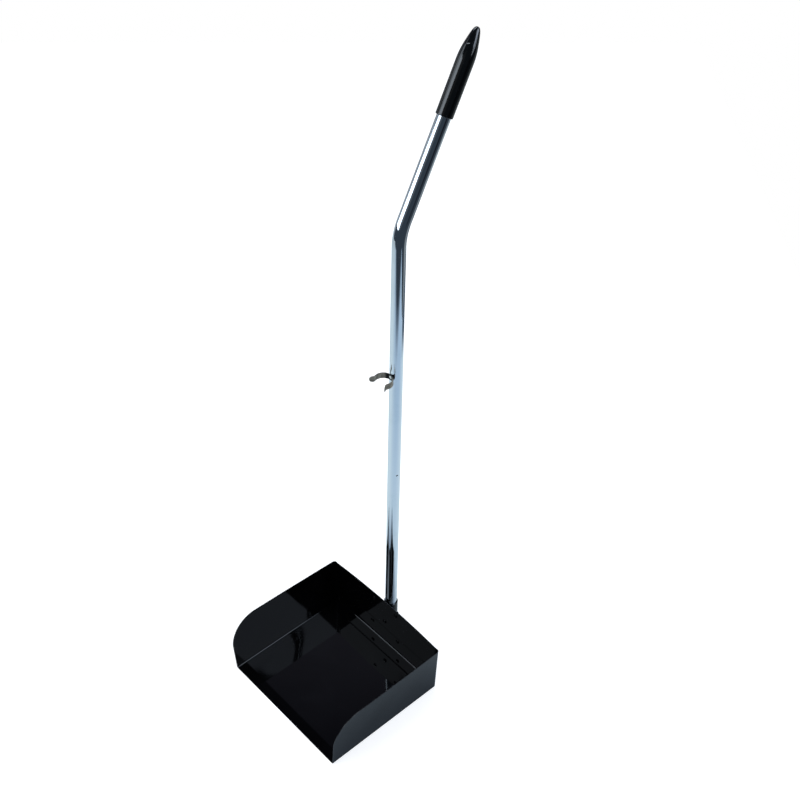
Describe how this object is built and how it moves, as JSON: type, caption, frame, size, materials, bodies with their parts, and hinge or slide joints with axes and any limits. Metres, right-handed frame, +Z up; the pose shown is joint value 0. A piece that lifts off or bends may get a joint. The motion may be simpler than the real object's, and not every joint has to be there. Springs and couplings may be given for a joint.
{
  "type": "pooper scooper pan",
  "caption": "Long-handled scoop for dog waste: a black folded steel pan with rounded walls, a bent plated tube handle with a grip, and a spring clip for a partner tool.",
  "frame": {"origin": "middle of the pan's flat underside, on the ground", "axes": "+Z up, the pan's open front faces -Y, the handle stands behind the pan at +Y"},
  "size_m": [0.2614, 0.3757, 1.0282],
  "materials": {
    "pan_enamel": "gloss black enamel",
    "fastener_black": "gloss black enamel",
    "tube_plating": "bright plated steel, slightly blue",
    "grip_vinyl": "gloss black vinyl",
    "clip_spring_steel": "dull grey spring steel"
  },
  "bodies": {
    "scoop": {"pan_tray": "pan_enamel", "back_panel": "pan_enamel", "handle_socket": "pan_enamel", "socket_rivets": "fastener_black", "handle_bolt": "fastener_black", "handle_nut": "fastener_black", "handle_tube": "tube_plating", "hand_grip": "grip_vinyl", "clip_base": "clip_spring_steel", "clip_rivet": "clip_spring_steel"},
    "left_arm": {"clip_arm_left": "clip_spring_steel"},
    "right_arm": {"clip_arm_right": "clip_spring_steel"}
  },
  "joints": [
    {"name": "clip_left_flex", "type": "hinge", "parent": "scoop", "child": "left_arm", "pos_m": [-0.00624, 0.12066, 0.5623], "axis": [0, -0.0258, -0.9997], "range_deg": [0, 10], "stiffness_Nm_per_rad": 1},
    {"name": "clip_right_flex", "type": "hinge", "parent": "scoop", "child": "right_arm", "pos_m": [0.00624, 0.12066, 0.5623], "axis": [0, 0.0258, 0.9997], "range_deg": [0, 10], "stiffness_Nm_per_rad": 1}
  ]
}
